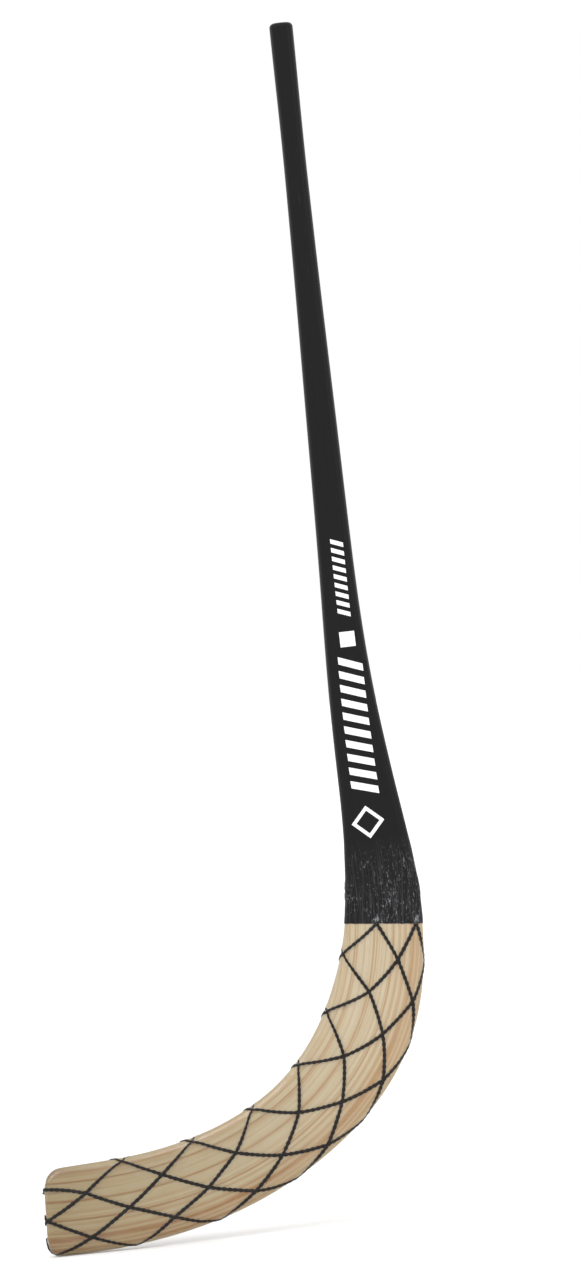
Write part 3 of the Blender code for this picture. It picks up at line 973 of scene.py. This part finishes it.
def print_patch(shape, stick, corners, steps=10):
    """A printed four-sided mark on the shaft's front, from its (distance, across) corners."""
    first, second, third, fourth = [Vector(corner) for corner in corners]
    grid = []
    for i in range(steps + 1):
        start = first.lerp(second, i / steps)
        end = fourth.lerp(third, i / steps)
        row = []
        for j in range(steps + 1):
            point = print_point(*start.lerp(end, j / steps))
            vertex = shape.verts.new(place(point))
            vertex[stick] = Vector(point) / MM
            row.append(vertex)
        grid.append(row)
    for i in range(steps):
        for j in range(steps):
            shape.faces.new((grid[i][j], grid[i + 1][j], grid[i + 1][j + 1], grid[i][j + 1]))


def slanted_bar(distance, across, length, width, slant):
    """The corners of a bar that runs across the shaft, slanted along it."""
    return (
        (distance - length / 2 - slant, across - width / 2),
        (distance + length / 2 - slant, across - width / 2),
        (distance + length / 2 + slant, across + width / 2),
        (distance - length / 2 + slant, across + width / 2),
    )


def make_print(material):
    """A generic graphic: two columns of slanted bars, a small square and an empty lozenge."""
    shape = bmesh.new()
    stick = shape.verts.layers.float_vector.new("stick")
    marks = []
    for k in range(9):
        marks.append(slanted_bar(0.3960 + 0.0066 * k, 0.0020, 0.0034, 0.0095, 0.0018))
    marks.append(slanted_bar(0.4690, 0.0022, 0.0115, 0.0115, 0.0))
    for k in range(10):
        share = k / 9
        across = 0.0022 - 0.0040 * share
        width = 0.0180 + 0.0020 * share
        marks.append(slanted_bar(0.4880 + 0.0104 * k, across, 0.0056, width, 0.0036))
    for corners in marks:
        print_patch(shape, stick, corners)
    outer, inner, centre = 0.0125, 0.0088, (0.6080, -0.0040)
    tips = [(1, 0), (0, 1), (-1, 0), (0, -1)]
    for (s0, t0), (s1, t1) in zip(tips, tips[1:] + tips[:1]):
        side = [(s0 * outer, t0 * outer), (s1 * outer, t1 * outer)]
        side += [(s1 * inner, t1 * inner), (s0 * inner, t0 * inner)]
        print_patch(shape, stick, [(centre[0] + s, centre[1] + t) for s, t in side])
    bmesh.ops.remove_doubles(shape, verts=shape.verts, dist=SAME_PLACE)
    bmesh.ops.recalc_face_normals(shape, faces=shape.faces)
    mesh = bpy.data.meshes.new("shaft_print")
    shape.to_mesh(mesh)
    shape.free()
    piece = bpy.data.objects.new("shaft_print", mesh)
    bpy.context.scene.collection.objects.link(piece)
    thicken(piece, PRINT_HEIGHT * 0.8)
    finish_piece(piece, material, "black_coat")


# ---- The stage ----

LEAN = math.radians(5.86)
VIEW_CENTRE = Vector((-0.0398, 0.0, -0.3081))
VIEW_HEIGHT = 0.9546
CAMERA_DISTANCE = 4.5


def make_camera():
    """Straight on from the front, far away, rolled so that the shaft leans as in the picture."""
    data = bpy.data.cameras.new("camera")
    camera = bpy.data.objects.new("camera", data)
    bpy.context.scene.collection.objects.link(camera)
    data.lens = data.sensor_width * CAMERA_DISTANCE / VIEW_HEIGHT
    data.clip_end = 100
    camera.location = VIEW_CENTRE - Vector((0, CAMERA_DISTANCE, 0))
    camera.rotation_euler = Euler((math.pi / 2, LEAN, 0), "XYZ")
    bpy.context.scene.camera = camera


def make_floor(level):
    """A plain pale floor with a faint speckle."""
    shape = bmesh.new()
    bmesh.ops.create_grid(shape, x_segments=24, y_segments=24, size=30)
    mesh = bpy.data.meshes.new("floor")
    shape.to_mesh(mesh)
    shape.free()
    floor = bpy.data.objects.new("floor", mesh)
    bpy.context.scene.collection.objects.link(floor)
    floor.location = (0, 0, level)
    graph = Graph("floor_paint")
    where = graph.add("NewGeometry").outputs["Position"]
    speckle = graph.add("TexNoise", {"Vector": where, "Scale": 60.0, "Detail": 2.0}).outputs["Fac"]
    color = graph.mix(speckle, (0.90, 0.90, 0.90), (0.93, 0.93, 0.93))
    mesh.materials.append(graph.surface(base_color=color, roughness=0.9, specular_ior_level=0.0))
    floor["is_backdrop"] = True


def add_lamp(name, kind, position, energy, **settings):
    """A lamp that points at the middle of the view."""
    data = bpy.data.lights.new(name, kind)
    data.energy = energy
    for key, value in settings.items():
        setattr(data, key, value)
    lamp = bpy.data.objects.new(name, data)
    bpy.context.scene.collection.objects.link(lamp)
    lamp.location = position
    lamp.rotation_euler = (VIEW_CENTRE - Vector(position)).to_track_quat("-Z", "Y").to_euler()


def make_lights():
    """A white studio all round, with two very soft suns and a glow from the right."""
    world = bpy.data.worlds.new("studio")
    bpy.context.scene.world = world
    world.use_nodes = True
    background = world.node_tree.nodes["Background"]
    background.inputs["Color"].default_value = (1.0, 1.0, 1.0, 1.0)
    background.inputs["Strength"].default_value = 1.0
    add_lamp("soft_key", "SUN", (-1.6, -2.4, 2.2), 0.9, angle=math.radians(35))
    add_lamp("soft_top", "SUN", (0.3, -0.3, 3.0), 0.45, angle=math.radians(60))
    add_lamp("side_glow", "AREA", (1.6, -2.0, 0.4), 9.0, shape="DISK", size=1.4)
    bpy.context.scene.view_settings.view_transform = "Standard"


def main():
    """The whole scene. Each wood has its own seed, grain tilt, orange lines and darkness."""
    make_camera()
    woods = [
        wood_material("wood_inner_edge", 2.0, 0.25, [(-21.2, 0.8, 0.75), (-29.0, 1.6, 0.30)], 0.12),
        wood_material(
            "wood_inner", 14.0, -0.2, [(-21.2, 0.7, 0.7), (-6.8, 1.1, 0.85), (-14.0, 0.8, 0.35)], 0.10
        ),
        wood_material(
            "wood_centre", 33.0, 0.1, [(-6.8, 0.7, 0.8), (7.6, 0.8, 0.75), (0.5, 0.7, 0.25)], 0.10
        ),
        wood_material(
            "wood_outer", 47.0, -0.15, [(7.6, 0.8, 0.8), (16.8, 0.7, 0.50), (21.0, 1.5, 0.90)], 0.12
        ),
        wood_material(
            "wood_outer_edge", 61.0, 0.2, [(22.8, 1.5, 1.0), (26.2, 0.8, 0.55), (29.4, 1.5, 0.90)], 0.24
        ),
    ]
    make_staves(woods)
    cord_points = make_cords(cord_material())
    make_sleeve(resin_material(), cord_points)
    make_coat(coat_material())
    make_print(print_material())
    make_floor(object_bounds()[0].z)
    make_lights()


main()
